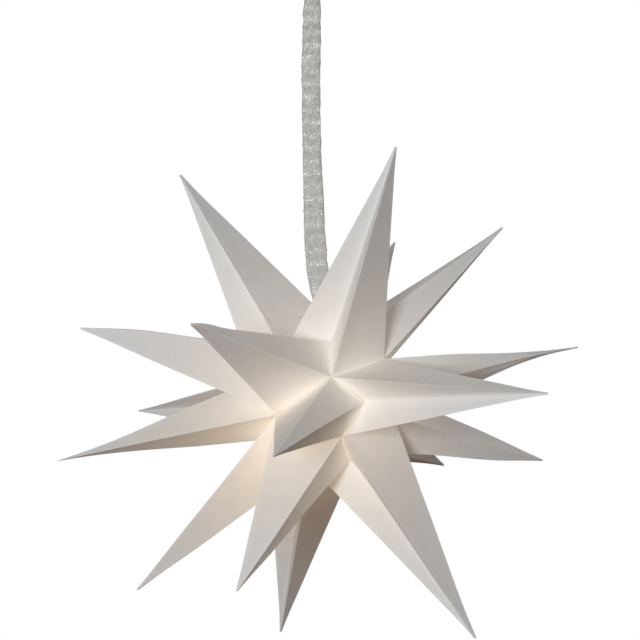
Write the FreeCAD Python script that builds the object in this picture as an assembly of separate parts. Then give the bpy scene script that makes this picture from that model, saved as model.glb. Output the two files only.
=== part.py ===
"""Paper star lantern: a hanging, lit star of creased paper leaves with its lamp, cable, cable sleeve
and ceiling fitting.

Sizes are in millimetres. +Z is up. The origin is the middle of the ceiling plate's top face, so the
whole lantern hangs below z = 0. The star itself is laid out in its own frame first: its local z runs
from the back pole to the front pole, and its local x points at the seam where the last two leaves
meet. star_placement() then hangs it by that seam.
"""

import FreeCAD, Part

import math
import os

from FreeCAD import Placement, Rotation, Vector

# Paper star: 18 points in 6 rows round the polar axis, each row a middle point between two outer ones.
PAPER = 0.4  # thickness of the card
MIDDLE_REACH = 300.0  # from the centre to the tip of a middle point
OUTER_REACH = 289.0  # from the centre to the tip of a front or back point
OUTER_RISE = 57.6  # degrees from the star's equator up to a front point
POLE_HEIGHT = 75.5  # from the centre to each pole
VALLEY_RADIUS, VALLEY_HEIGHT = 64.5, 42.0  # corner of the fold between two rows
NOTCH_RADIUS, NOTCH_HEIGHT = 74.5, 17.5  # corner between a middle point and an outer one
OPENINGS = (63.5, 60.0, 62.0, 57.0, 59.0, 58.5)  # degrees between rows, from the seam round

# How the star hangs: by its seam, with the front pole dipping.
STAR_CENTRE = Vector(10.5, 7.5, -500.0)
DIP = 12.1  # degrees that the front pole hangs below the level
TURN = 2.4  # degrees that the seam stands off the top, about the polar axis

# Seam: a hole for the lamp's neck, a folded card strap inside, and staples through both.
SEAM_HOLE = 12.0
STRAP_CARD = 0.6
STRAP_GAP = 0.15  # air between the strap and the leaves
STRAP_WIDTH = 30.0
STRAP_ARM = 35.0
STAPLE_FROM_SEAM = 30.0  # along the face, from the fold to the staple
STAPLE_LEVELS = (10.5, -10.5)  # along the polar axis, from the middle of the seam hole
STAPLE_CROWN = 6.0
STAPLE_WIRE = 0.6
STAPLE_PRONG = 2.2

# Lamp cable and its sleeve. The route runs from the terminal block down to the lamp holder.
CABLE_DIAMETER = 5.0
ROUTE = (
    (0.0, 0.0, -15.0),
    (0.0, 0.0, -88.0),
    (-1.4, -1.1, -162.0),
    (-0.2, -0.3, -236.0),
    (1.2, 1.0, -300.0),
    (3.6, 3.3, -364.0),
    (7.8, 7.5, -408.0),
    (7.8, 7.5, -450.0),
)
SLEEVE_FACING = 43.0  # degrees from +X of the sleeve's wide side
SLEEVE_CLOTH = 0.5
# (z, width, thickness) down the sleeve; it is round where it slips over a neck at either end.
SLEEVE_SECTIONS = (
    (-62.3, 10.4, 10.2),
    (-67.6, 10.8, 10.2),
    (-76.0, 16.4, 7.8),
    (-86.0, 18.8, 7.0),
    (-140.0, 20.2, 7.0),
    (-190.0, 19.6, 7.0),
    (-236.0, 19.8, 7.0),
    (-300.0, 21.9, 7.0),
    (-342.0, 23.2, 7.0),
    (-366.0, 22.8, 7.0),
    (-402.0, 17.8, 7.4),
    (-418.0, 13.6, 8.8),
    (-431.0, 10.8, 10.2),
    (-437.1, 10.4, 10.2),
)
NECK_DIAMETER, NECK_LENGTH = 8.8, 5.0  # of the two necks that the sleeve slips over
NECK_BORE = 5.4

# Lamp holder for a small screw cap, hanging inside the star.
HOLDER_TOP = -437.6  # shoulder of the cap, just under the strap
HOLDER_RADIUS = 14.0
HOLDER_WALL = 1.6
CAP_HEIGHT = 24.0
BODY_BOTTOM = -494.0
SPIGOT_LENGTH = 8.0  # the part of the body inside the cap
FIT = 0.1  # gap between parts of the holder that screw or slide together
INSERT_RADIUS, INSERT_BOTTOM = 11.0, -490.0
SHELL_RADIUS, SHELL_WALL, SHELL_TOP = 7.6, 0.5, -470.5
CONTACT_RADIUS, CONTACT_THICKNESS = 3.0, 0.8

# Bulb with a 14 mm screw cap and a ball of 45 mm.
BULB_TOP, BULB_CAP_RADIUS, BULB_CAP_LENGTH = -470.9, 6.8, 18.0
BULB_SHOULDER, BULB_NECK_RADIUS = -497.0, 10.5
BALL_RADIUS, BALL_BOTTOM = 22.5, -546.0

# Ceiling fitting.
PLATE_RADIUS, PLATE_THICKNESS = 31.0, 3.0
SCREW_SPACING, SCREW_HOLE = 44.0, 4.4
POST_WIDTH, POST_DEPTH, POST_BOTTOM = 18.0, 7.5, -34.0
BLOCK_SIZE = Vector(20.0, 11.4, 14.0)
CLAMP_SIZE = Vector(18.0, 3.5, 8.0)
CLAMP_LEVEL = -28.0
CLAMP_SCREW, CLAMP_HEAD, CLAMP_SPACING = 3.0, 5.5, 12.0
CUP_RIM, CUP_WAIST, CUP_FLOOR = 37.0, 33.0, 13.0  # outside radii
CUP_WAIST_LEVEL, CUP_BOTTOM, CUP_WALL = -28.0, -52.0, 1.8
STEM_DIAMETER, STEM_TOP = 10.0, -44.0
COLLAR_RADIUS, COLLAR_LENGTH = 7.0, 10.0
NUT_ACROSS, NUT_THICKNESS = 14.0, 3.5
GRIP_SCREW = 3.0

FOLD_SIDES = (1, -1)


def polar(radius, degrees, height):
    """A point in the star's own frame, by radius, angle from the seam and height along its axis."""
    angle = math.radians(degrees)
    return Vector(radius * math.cos(angle), radius * math.sin(angle), height)


def vertical(radius, height, x=0.0, y=0.0, top=0.0):
    """An upright cylinder whose top face is at the height called top."""
    return Part.makeCylinder(radius, height, Vector(x, y, top - height))


def turned(profile, x=0.0, y=0.0):
    """A solid of revolution about an upright axis, from (radius, z) corners of its half section."""
    corners = [Vector(radius, 0, z) for radius, z in profile]
    face = Part.Face(Part.makePolygon(corners + corners[:1]))
    solid = face.revolve(Vector(0, 0, 0), Vector(0, 0, 1), 360)
    solid.translate(Vector(x, y, 0))
    return solid


def box(size, centre):
    """A rectangular block about its centre."""
    return Part.makeBox(size.x, size.y, size.z, centre - size * 0.5)


# The star.


def row_angles():
    """The angle of each row of points, from the seam round."""
    angles = [OPENINGS[0] / 2]
    for opening in OPENINGS[1:]:
        angles.append(angles[-1] + opening)
    return angles


def star_placement():
    """Where the star's own frame sits once it hangs by its seam."""
    upright = Rotation(Vector(0, 0, 1), Vector(-1, 0, 0), Vector(0, -1, 0))
    turn = Rotation(Vector(0, -1, 0), TURN)
    dip = Rotation(Vector(1, 0, 0), DIP)
    return Placement(STAR_CENTRE, dip * turn * upright)


def seam_hole_offset():
    """How far along the polar axis the seam hole is from the star's middle, so that it hangs level."""
    return -VALLEY_RADIUS * math.tan(math.radians(DIP))


def outer_corners(row, valley):
    """The corners of a leaf's outside, between the plane of its row and the plane of its fold."""
    rise = math.radians(OUTER_RISE)
    corners = {"centre": polar(MIDDLE_REACH, row, 0)}
    for end, side in zip(("front", "back"), FOLD_SIDES):
        corners[end + " pole"] = Vector(0, 0, side * POLE_HEIGHT)
        corners[end + " tip"] = polar(OUTER_REACH * math.cos(rise), row, side * OUTER_REACH * math.sin(rise))
        corners[end + " notch"] = polar(NOTCH_RADIUS, row, side * NOTCH_HEIGHT)
        corners[end + " valley"] = polar(VALLEY_RADIUS, valley, side * VALLEY_HEIGHT)
    return corners


def leaf_triangles():
    """The seven flat faces of a leaf, as the names of their corners, from pole to pole."""
    half = [("pole", "valley", "tip"), ("valley", "notch", "tip")]
    faces = []
    for end in ("front", "back"):
        faces += [tuple(f"{end} {name}" for name in names) for names in half]
        faces.append((f"{end} valley", f"{end} notch", "centre"))
    faces.append(("front valley", "back valley", "centre"))
    return faces


def inward_normals(corners):
    """For each face, the unit normal that points into the star."""
    normals = {}
    for names in leaf_triangles():
        a, b, c = (corners[name] for name in names)
        normal = (b - a).cross(c - a)
        normal.normalize()
        normals[names] = normal if normal.dot(a) < 0 else -normal
    return normals


def inner_corner(name, corners, normals, row, valley):
    """A leaf's corner moved in by the paper's thickness, staying in the plane where leaves join.

    The move has a part along the radius and a part along the axis. It is the one that best keeps
    the paper's thickness on every face that meets at the corner.
    """
    radial = polar(1, valley if "valley" in name else row, 0)
    meeting = [(n.dot(radial), n.z) for names, n in normals.items() if name in names]
    if "pole" in name:
        return corners[name] + Vector(0, 0, PAPER / meeting[0][1])
    rr = sum(r * r for r, _ in meeting)
    zz = sum(z * z for _, z in meeting)
    rz = sum(r * z for r, z in meeting)
    to_r = PAPER * sum(r for r, _ in meeting)
    to_z = PAPER * sum(z for _, z in meeting)
    spread = rr * zz - rz * rz
    along_radius = (to_r * zz - to_z * rz) / spread
    along_axis = (to_z * rr - to_r * rz) / spread
    return corners[name] + radial * along_radius + Vector(0, 0, along_axis)


def polygon_face(points):
    """A flat face with these corners."""
    return Part.Face(Part.makePolygon(points + points[:1]))


def leaf(row, valley):
    """One paper leaf, half a row of points, as a thin closed solid in the star's own frame."""
    outer = outer_corners(row, valley)
    normals = inward_normals(outer)
    inner = {name: inner_corner(name, outer, normals, row, valley) for name in outer}
    faces = []
    for names in leaf_triangles():
        faces += [polygon_face([side[name] for name in names]) for side in (outer, inner)]
    ridge = ["front pole", "front tip", "front notch", "centre", "back notch", "back tip", "back pole"]
    fold = ["front pole", "front valley", "back valley", "back pole"]
    for edge in (ridge, fold):
        faces.append(polygon_face([outer[name] for name in edge] + [inner[name] for name in reversed(edge)]))
    solid = Part.Solid(Part.makeShell(faces))
    if solid.Volume < 0:
        solid.reverse()
    return solid


def seam_face_direction():
    """Unit vector up the face beside the seam, square to the fold, on the first row's side."""
    direction = polar(MIDDLE_REACH, OPENINGS[0] / 2, 0) - Vector(VALLEY_RADIUS, 0, 0)
    direction.normalize()
    return direction


def seam_strap():
    """Card strap folded over the inside of the seam, in the star's own frame."""
    along = seam_face_direction()
    slope = along.y  # sine of the angle between the face and the seam's radius
    start = VALLEY_RADIUS - (PAPER + STRAP_GAP) / slope
    ridge = Vector(start, 0, 0)
    under = Vector(start - STRAP_CARD / slope, 0, 0)
    inward = Vector(along.y, -along.x, 0) * -STRAP_CARD
    end = ridge + along * STRAP_ARM
    half = [ridge, end, end + inward, under]
    section = half + [Vector(p.x, -p.y, 0) for p in reversed(half[1:-1])]
    middle = seam_hole_offset()
    for point in section:
        point.z = middle - STRAP_WIDTH / 2
    return polygon_face(section).extrude(Vector(0, 0, STRAP_WIDTH))


def staple_parts(side, level, slack=0.0):
    """The crown, legs and bent prongs of one staple, grown by slack, in the star's own frame."""
    along = seam_face_direction()
    along.y *= side
    outward = Vector(along.y, -along.x, 0) * side
    frame = Rotation(Vector(0, 0, 1), Vector(), outward, "XZY")
    foot = Vector(VALLEY_RADIUS, 0, 0) + along * STAPLE_FROM_SEAM
    foot.z = seam_hole_offset() + level
    stack = PAPER + STRAP_GAP + STRAP_CARD
    wire = STAPLE_WIRE + 2 * slack
    crown = box(Vector(STAPLE_CROWN, wire, STAPLE_WIRE), Vector(0, 0, STAPLE_WIRE / 2 + 0.05))
    parts = [crown]
    for end in FOLD_SIDES:
        x = end * (STAPLE_CROWN - STAPLE_WIRE) / 2
        leg = box(Vector(wire, wire, stack + 2 * STAPLE_WIRE + 0.1), Vector(x, 0, -stack / 2))
        inner_x = end * (STAPLE_CROWN - STAPLE_PRONG) / 2
        prong_level = -stack - 0.05 - STAPLE_WIRE / 2
        prong = box(Vector(STAPLE_PRONG, wire, STAPLE_WIRE), Vector(inner_x, 0, prong_level))
        parts += [leg, prong]
    for part in parts:
        part.Placement = Placement(foot, frame) * part.Placement
    return parts


def build_star():
    """Every paper piece of the star, with the seam's hole and staple holes, hung in its place."""
    hang = star_placement()
    angles = row_angles()
    pieces = {}
    for index, row in enumerate(angles):
        before = row - OPENINGS[index] / 2
        after = row + OPENINGS[(index + 1) % len(OPENINGS)] / 2
        pieces[f"paper_leaf_{2 * index + 1:02d}"] = leaf(row, before)
        pieces[f"paper_leaf_{2 * index + 2:02d}"] = leaf(row, after)
    pieces["seam_strap"] = seam_strap()
    staples, holes = [], []
    for side in FOLD_SIDES:
        for level in STAPLE_LEVELS:
            crown, *rest = staple_parts(side, level)
            staples.append(crown.multiFuse(rest).removeSplitter())
            holes += [part for part in staple_parts(side, level, slack=0.1)[1::2]]
    pieces["staples"] = Part.makeCompound(staples)
    for solid in [*pieces.values(), *holes]:
        solid.Placement = hang * solid.Placement
    exit_point = hang.multVec(Vector(VALLEY_RADIUS, 0, seam_hole_offset()))
    hole = vertical(SEAM_HOLE / 2, 60, exit_point.x, exit_point.y, exit_point.z + 30)
    last = f"paper_leaf_{2 * len(angles):02d}"
    for name in ("paper_leaf_01", last, "seam_strap"):
        pieces[name] = pieces[name].cut([hole, *holes])
    return pieces, exit_point


# Cable and sleeve.


def cable_path(points):
    """Straight runs joined by tangent arcs, each as large as its two runs allow."""
    edges = []
    radii = []
    start = points[0]
    for before, corner, after in zip(points, points[1:], points[2:]):
        arriving, leaving = corner - before, after - corner
        half_turn = arriving.getAngle(leaving) / 2
        trim = 0.45 * min(arriving.Length, leaving.Length)
        radii.append(trim / math.tan(half_turn))
        arriving.normalize()
        leaving.normalize()
        first, last = corner - arriving * trim, corner + leaving * trim
        towards = leaving - arriving
        towards.normalize()
        rise = radii[-1] * (1 / math.cos(half_turn) - 1)
        edges.append(Part.LineSegment(start, first).toShape())
        edges.append(Part.Arc(first, corner + towards * rise, last).toShape())
        start = last
    edges.append(Part.LineSegment(start, points[-1]).toShape())
    print("lamp_cable arc radii, mm:", [round(radius) for radius in radii])
    return Part.Wire(edges)


def lamp_cable():
    """The lamp's cable as one round tube along its route."""
    path = cable_path([Vector(*point) for point in ROUTE])
    direction = path.Edges[0].tangentAt(path.Edges[0].FirstParameter)
    circle = Part.Wire(Part.makeCircle(CABLE_DIAMETER / 2, Vector(*ROUTE[0]), direction))
    tube = path.makePipeShell([circle], True, False)
    expected = math.pi * CABLE_DIAMETER**2 / 4 * path.Length
    print(f"lamp_cable length {path.Length:.1f} mm, volume ratio {tube.Volume / expected:.4f}")
    return tube


def route_at(z):
    """The route's point at a height, on the straight lines between its corners."""
    for upper, lower in zip(ROUTE, ROUTE[1:]):
        if lower[2] <= z <= upper[2]:
            share = (upper[2] - z) / (upper[2] - lower[2])
            return Vector(*(a + (b - a) * share for a, b in zip(upper[:2], lower[:2])), z)
    raise ValueError(f"the route has no point at z = {z}")


def sleeve_ring(z, width, thickness):
    """A level outline of the flattened sleeve: two equal arcs that meet at its side edges."""
    centre = route_at(z)
    angle = math.radians(SLEEVE_FACING)
    across = Vector(math.cos(angle), math.sin(angle), 0) * (width / 2)
    through = Vector(-math.sin(angle), math.cos(angle), 0) * (thickness / 2)
    first = Part.Arc(centre - across, centre - through, centre + across).toShape()
    second = Part.Arc(centre + across, centre + through, centre - across).toShape()
    return Part.Wire([first, second])


def cable_sleeve():
    """The fabric sleeve over the cable, as a plain thin tube that is flat between its two ends."""
    outer = [sleeve_ring(*section) for section in SLEEVE_SECTIONS]
    inner = []
    for z, width, thickness in SLEEVE_SECTIONS:
        flatness = width / thickness
        inner.append(sleeve_ring(z, width - 2 * SLEEVE_CLOTH * flatness, thickness - 2 * SLEEVE_CLOTH))
    return Part.makeLoft(outer, True, True).cut(Part.makeLoft(inner, True, True))


# Lamp holder and bulb, about the upright line through the end of the cable.


def lamp_pieces():
    """The lamp holder's pieces and the bulb, by name."""
    x, y = ROUTE[-1][:2]
    neck, bore = NECK_DIAMETER / 2, NECK_BORE / 2
    cap_bottom = HOLDER_TOP - CAP_HEIGHT
    inside = HOLDER_RADIUS - HOLDER_WALL
    cap = [
        (bore, HOLDER_TOP + NECK_LENGTH),
        (neck, HOLDER_TOP + NECK_LENGTH),
        (neck, HOLDER_TOP),
        (7.0, HOLDER_TOP),
        (11.5, HOLDER_TOP - 3.0),
        (HOLDER_RADIUS, HOLDER_TOP - 8.0),
        (HOLDER_RADIUS, cap_bottom),
        (inside, cap_bottom),
        (inside, HOLDER_TOP - 8.6),
        (10.3, HOLDER_TOP - 4.4),
        (6.4, HOLDER_TOP - 2.0),
        (bore, HOLDER_TOP - 2.0),
    ]
    spigot = inside - FIT
    hold = INSERT_RADIUS + FIT
    body = [
        (spigot, cap_bottom + SPIGOT_LENGTH),
        (spigot, cap_bottom - FIT),
        (HOLDER_RADIUS, cap_bottom - FIT),
        (HOLDER_RADIUS - 0.8, BODY_BOTTOM),
        (HOLDER_RADIUS - 4.6, BODY_BOTTOM),
        (HOLDER_RADIUS - 4.6, INSERT_BOTTOM - FIT),
        (hold, INSERT_BOTTOM - FIT),
        (hold, cap_bottom + SPIGOT_LENGTH),
    ]
    seat = SHELL_RADIUS + FIT
    insert_top = ROUTE[-1][2]
    insert = vertical(INSERT_RADIUS, insert_top - INSERT_BOTTOM, x, y, insert_top)
    insert = insert.cut(vertical(seat, SHELL_TOP - INSERT_BOTTOM, x, y, SHELL_TOP))
    contact_top = SHELL_TOP + CONTACT_THICKNESS
    insert = insert.cut(vertical(CONTACT_RADIUS + FIT, 2.0, x, y, contact_top))
    shell_length = SHELL_TOP - INSERT_BOTTOM - 1.0
    shell = vertical(SHELL_RADIUS, shell_length, x, y, SHELL_TOP)
    shell = shell.cut(vertical(SHELL_RADIUS - SHELL_WALL, shell_length, x, y, SHELL_TOP))
    return {
        "holder_cap": turned(cap, x, y),
        "holder_body": turned(body, x, y),
        "contact_insert": insert,
        "thread_shell": shell,
        "centre_contact": vertical(CONTACT_RADIUS, CONTACT_THICKNESS, x, y, contact_top),
        "bulb": bulb(x, y),
    }


def bulb(x, y):
    """A sealed ball bulb with its screw cap, as one solid of revolution."""
    centre_z = BALL_BOTTOM + BALL_RADIUS
    cap_end = BULB_TOP - BULB_CAP_LENGTH
    rise = math.sqrt(BALL_RADIUS**2 - BULB_NECK_RADIUS**2)
    meet = Vector(BULB_NECK_RADIUS, 0, centre_z + rise)
    corners = [
        Vector(0, 0, BULB_TOP),
        Vector(3.0, 0, BULB_TOP),
        Vector(BULB_CAP_RADIUS, 0, BULB_TOP - 3.0),
        Vector(BULB_CAP_RADIUS, 0, cap_end),
        Vector(8.4, 0, BULB_SHOULDER + 3.5),
        meet,
    ]
    lines = [Part.LineSegment(a, b).toShape() for a, b in zip(corners, corners[1:])]
    ball = Part.Arc(meet, Vector(BALL_RADIUS, 0, centre_z), Vector(0, 0, BALL_BOTTOM)).toShape()
    axis = Part.LineSegment(Vector(0, 0, BALL_BOTTOM), corners[0]).toShape()
    solid = Part.Face(Part.Wire([*lines, ball, axis])).revolve(Vector(0, 0, 0), Vector(0, 0, 1), 360)
    solid.translate(Vector(x, y, 0))
    return solid


# Ceiling fitting, about the upright line through the origin.


def ceiling_pieces():
    """The plate, cup, cord grip, clamp and terminals at the ceiling, by name."""
    beside_cable = CABLE_DIAMETER / 2 + 0.05
    plate = vertical(PLATE_RADIUS, PLATE_THICKNESS)
    post_height = -PLATE_THICKNESS - POST_BOTTOM
    post_size = Vector(POST_WIDTH, POST_DEPTH, post_height)
    post = box(post_size, Vector(0, beside_cable + POST_DEPTH / 2, POST_BOTTOM + post_height / 2))
    plate = plate.fuse(post).removeSplitter()
    for side in FOLD_SIDES:
        x = side * SCREW_SPACING / 2
        plate = plate.cut(vertical(SCREW_HOLE / 2, PLATE_THICKNESS, x))
    block_centre = Vector(0, beside_cable - 0.1 - BLOCK_SIZE.y / 2, -PLATE_THICKNESS - BLOCK_SIZE.z / 2)
    block = box(BLOCK_SIZE, block_centre)
    block = block.cut(vertical(NECK_BORE / 2, 3.0, top=ROUTE[0][2]))
    clamp = box(CLAMP_SIZE, Vector(0, -beside_cable - CLAMP_SIZE.y / 2, CLAMP_LEVEL))
    screws = []
    for side in FOLD_SIDES:
        face = Vector(side * CLAMP_SPACING / 2, -beside_cable - CLAMP_SIZE.y, CLAMP_LEVEL)
        reach = CLAMP_SIZE.y + 2 * beside_cable + POST_DEPTH * 0.7
        hole = Part.makeCylinder(CLAMP_SCREW / 2 + 0.1, reach + 0.3, face, Vector(0, 1, 0))
        plate = plate.cut(hole)
        clamp = clamp.cut(hole)
        shank = Part.makeCylinder(CLAMP_SCREW / 2, reach, face, Vector(0, 1, 0))
        head = Part.makeCylinder(CLAMP_HEAD / 2, 2.0, face, Vector(0, -1, 0))
        screws.append(shank.fuse(head).removeSplitter())
    return {
        "ceiling_plate": plate,
        "terminal_block": block,
        "cord_clamp": clamp,
        "clamp_screws": Part.makeCompound(screws),
        "ceiling_cup": ceiling_cup(),
        **cord_grip(),
    }


def ceiling_cup():
    """The cup that covers the plate, open at the ceiling, with a hole for the cord grip."""
    hole = STEM_DIAMETER / 2 + 0.1
    floor = CUP_BOTTOM + CUP_WALL
    profile = [
        (CUP_RIM, 0.0),
        (CUP_WAIST, CUP_WAIST_LEVEL),
        (27.5, -41.0),
        (20.5, -48.5),
        (CUP_FLOOR, CUP_BOTTOM),
        (hole, CUP_BOTTOM),
        (hole, floor),
        (CUP_FLOOR - 0.6, floor),
        (19.4, -46.9),
        (26.0, -39.9),
        (CUP_WAIST - CUP_WALL, CUP_WAIST_LEVEL + 0.4),
        (CUP_RIM - CUP_WALL, 0.0),
    ]
    return turned(profile)


def cord_grip():
    """The nipple in the cup's floor with its nut and the set screw that grips the cable."""
    stem, bore, neck = STEM_DIAMETER / 2, NECK_BORE / 2, NECK_DIAMETER / 2
    collar_bottom = CUP_BOTTOM - COLLAR_LENGTH
    neck_bottom = collar_bottom - NECK_LENGTH
    nipple = turned(
        [
            (bore, STEM_TOP),
            (stem, STEM_TOP),
            (stem, CUP_BOTTOM),
            (COLLAR_RADIUS, CUP_BOTTOM),
            (COLLAR_RADIUS, collar_bottom + 1.5),
            (COLLAR_RADIUS - 1.5, collar_bottom),
            (neck, collar_bottom),
            (neck, neck_bottom),
            (bore, neck_bottom),
        ]
    )
    level = CUP_BOTTOM - COLLAR_LENGTH / 2
    start = Vector(bore + 0.2, 0, level)
    length = COLLAR_RADIUS - bore + 0.6
    tapped = Part.makeCylinder(GRIP_SCREW / 2 + 0.05, COLLAR_RADIUS + 1, Vector(0, 0, level), Vector(1, 0, 0))
    nut_top = CUP_BOTTOM + CUP_WALL + NUT_THICKNESS
    corner = NUT_ACROSS / math.sqrt(3)
    corners = [Vector(*polar(corner, 60 * i, 0)[:2], nut_top - NUT_THICKNESS) for i in range(6)]
    nut = polygon_face(corners).extrude(Vector(0, 0, NUT_THICKNESS))
    nut = nut.cut(vertical(stem + 0.05, NUT_THICKNESS, top=nut_top))
    return {
        "cup_nipple": nipple.cut(tapped),
        "nipple_nut": nut,
        "grip_screw": Part.makeCylinder(GRIP_SCREW / 2, length, start, Vector(1, 0, 0)),
    }


def main():
    """Builds every piece, reports it and writes its STEP file."""
    os.makedirs("parts", exist_ok=True)
    pieces, exit_point = build_star()
    print("seam hole at", [round(value, 1) for value in exit_point])
    pieces["cable_sleeve"] = cable_sleeve()
    pieces["lamp_cable"] = lamp_cable()
    pieces.update(lamp_pieces())
    pieces.update(ceiling_pieces())
    for name, shape in pieces.items():
        print(f"{name}: {len(shape.Solids)} solid(s), {shape.Volume / 1000:.2f} cm3, valid {shape.isValid()}")
        shape.exportStep(f"parts/{name}.step")


main()
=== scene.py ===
"""Looks of a hanging paper star lantern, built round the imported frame.

Lengths are in metres and +Z is up. The origin is the middle of the ceiling plate's top face. The
star is laid out in its own frame first, where z runs from the back pole to the front pole and x
points at the seam that it hangs by.
"""

import functools
import logging
import math
from dataclasses import dataclass, field
from enum import Enum
from typing import Iterator, Sequence

import bmesh
import bpy
import numpy as np
from mathutils import Matrix, Vector, noise

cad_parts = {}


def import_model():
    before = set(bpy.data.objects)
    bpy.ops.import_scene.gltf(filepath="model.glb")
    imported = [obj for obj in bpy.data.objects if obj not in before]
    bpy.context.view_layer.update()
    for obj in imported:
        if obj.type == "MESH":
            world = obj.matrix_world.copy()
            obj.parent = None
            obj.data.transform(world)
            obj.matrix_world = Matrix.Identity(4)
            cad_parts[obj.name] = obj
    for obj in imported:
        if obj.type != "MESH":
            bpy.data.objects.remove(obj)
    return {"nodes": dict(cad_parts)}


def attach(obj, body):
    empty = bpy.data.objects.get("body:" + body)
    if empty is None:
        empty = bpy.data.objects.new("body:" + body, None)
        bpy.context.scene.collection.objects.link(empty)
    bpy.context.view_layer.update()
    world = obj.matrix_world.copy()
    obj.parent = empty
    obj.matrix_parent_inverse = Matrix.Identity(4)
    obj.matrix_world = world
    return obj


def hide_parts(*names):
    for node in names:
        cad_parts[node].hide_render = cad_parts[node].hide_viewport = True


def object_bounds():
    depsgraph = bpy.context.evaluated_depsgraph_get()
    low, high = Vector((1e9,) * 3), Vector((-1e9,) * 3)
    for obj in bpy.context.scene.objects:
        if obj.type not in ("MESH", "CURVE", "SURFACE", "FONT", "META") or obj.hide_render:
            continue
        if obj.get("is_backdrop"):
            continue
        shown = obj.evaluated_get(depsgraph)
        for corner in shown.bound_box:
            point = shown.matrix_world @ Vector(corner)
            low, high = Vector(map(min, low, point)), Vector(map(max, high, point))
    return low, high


MM = 0.001
BODY = "root"
Colour = tuple[float, float, float]
Socket = bpy.types.NodeSocket
Triangle = tuple[Vector, Vector, Vector]

logger = logging.getLogger("paper_star")


# Materials.


class Graph:
    """A material's node tree, with short calls for the nodes that the finishes use."""

    def __init__(self, name: str) -> None:
        """Starts a material with a Principled shader.

        Args:
            name: The material's name.
        """
        self.material = bpy.data.materials.new(name)
        self.material.use_nodes = True
        self.tree = self.material.node_tree
        self.shader = self.tree.nodes["Principled BSDF"]
        self.position = self.add("ShaderNodeNewGeometry").outputs["Position"]

    def add(self, kind: str, **settings: object) -> bpy.types.Node:
        """Adds a node.

        Args:
            kind: The node's type name.
            settings: Values for the node's own properties.

        Returns:
            The new node.
        """
        node = self.tree.nodes.new(kind)
        for key, value in settings.items():
            setattr(node, key, value)
        return node

    def join(self, value: Socket | float | Colour, target: Socket) -> None:
        """Links a socket to a target, or sets the target's own value."""
        if isinstance(value, bpy.types.NodeSocket):
            self.tree.links.new(value, target)
        elif isinstance(value, tuple) and len(value) == 3 and target.type == "RGBA":
            target.default_value = (*value, 1.0)
        else:
            target.default_value = value

    def set(self, **values: Socket | float | Colour) -> None:
        """Fills the shader's sockets, named with underscores for spaces."""
        for key, value in values.items():
            self.join(value, self.shader.inputs[key.replace("_", " ")])

    def maths(self, operation: str, *operands: Socket | float, clamp: bool = False) -> Socket:
        """Adds a Math node.

        Args:
            operation: The node's operation, such as MULTIPLY.
            operands: One to three sockets or numbers.
            clamp: Whether the result is kept from 0 to 1.

        Returns:
            The node's value socket.
        """
        node = self.add("ShaderNodeMath", operation=operation, use_clamp=clamp)
        for operand, target in zip(operands, node.inputs):
            self.join(operand, target)
        return node.outputs[0]

    def vector(self, operation: str, a: Socket | tuple, b: Socket | tuple = (0.0, 0.0, 0.0)) -> bpy.types.Node:
        """Adds a Vector Math node and returns it, for its Vector or Value socket."""
        node = self.add("ShaderNodeVectorMath", operation=operation)
        self.join(a, node.inputs[0])
        self.join(b, node.inputs[1])
        return node

    def mix(self, factor: Socket | float, a: Socket | Colour, b: Socket | Colour, blend: str = "MIX") -> Socket:
        """Mixes two colours.

        Args:
            factor: How much of the second colour shows.
            a: The first colour.
            b: The second colour.
            blend: The way of mixing, such as MIX or MULTIPLY.

        Returns:
            The mixed colour.
        """
        node = self.add("ShaderNodeMix", data_type="RGBA", blend_type=blend)
        self.join(factor, node.inputs["Factor"])
        self.join(a, node.inputs[6])
        self.join(b, node.inputs[7])
        return node.outputs[2]

    def stretched(self, source: Socket, scale: tuple[float, float, float]) -> Socket:
        """Scales coordinates, so that a texture is drawn out along an axis."""
        return self.vector("MULTIPLY", source, scale).outputs["Vector"]

    def grain(self, source: Socket, scale: float, detail: float = 3.0, roughness: float = 0.5) -> Socket:
        """Adds a noise texture and returns its value, which is about 0.5 on average."""
        node = self.add("ShaderNodeTexNoise")
        self.join(source, node.inputs["Vector"])
        node.inputs["Scale"].default_value = scale
        node.inputs["Detail"].default_value = detail
        node.inputs["Roughness"].default_value = roughness
        return node.outputs["Fac"]

    def remap(self, value: Socket, low: float, high: float, to_low: float, to_high: float) -> Socket:
        """Maps a range of a value smoothly onto another range."""
        node = self.add("ShaderNodeMapRange", interpolation_type="SMOOTHSTEP")
        for key, number in (("From Min", low), ("From Max", high), ("To Min", to_low), ("To Max", to_high)):
            node.inputs[key].default_value = number
        self.join(value, node.inputs["Value"])
        return node.outputs["Result"]

    def bump(self, height: Socket, distance: float, strength: float = 1.0) -> None:
        """Raises the surface by a height map, over any bump that is there already."""
        node = self.add("ShaderNodeBump")
        node.inputs["Strength"].default_value = strength
        node.inputs["Distance"].default_value = distance
        self.join(height, node.inputs["Height"])
        before = self.shader.inputs["Normal"]
        if before.is_linked:
            self.join(before.links[0].from_socket, node.inputs["Normal"])
        self.join(node.outputs["Normal"], before)


@dataclass(frozen=True)
class Finish:
    """A procedural finish: a colour, a roughness and the detail that a subclass adds."""

    name: str
    colour: Colour
    roughness: float

    @functools.cache
    def material(self) -> bpy.types.Material:
        """Returns the finish's material, made once and then shared."""
        graph = Graph(self.name)
        graph.set(Base_Color=self.colour, Roughness=self.roughness)
        self.detail(graph)
        return graph.material

    def detail(self, graph: Graph) -> None:
        """Adds the nodes that make this finish what it is."""
        raise NotImplementedError

    def dress(self, *objects: bpy.types.Object) -> None:
        """Puts the finish on every face of some objects."""
        for thing in objects:
            thing.data.materials.clear()
            thing.data.materials.append(self.material())


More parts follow.
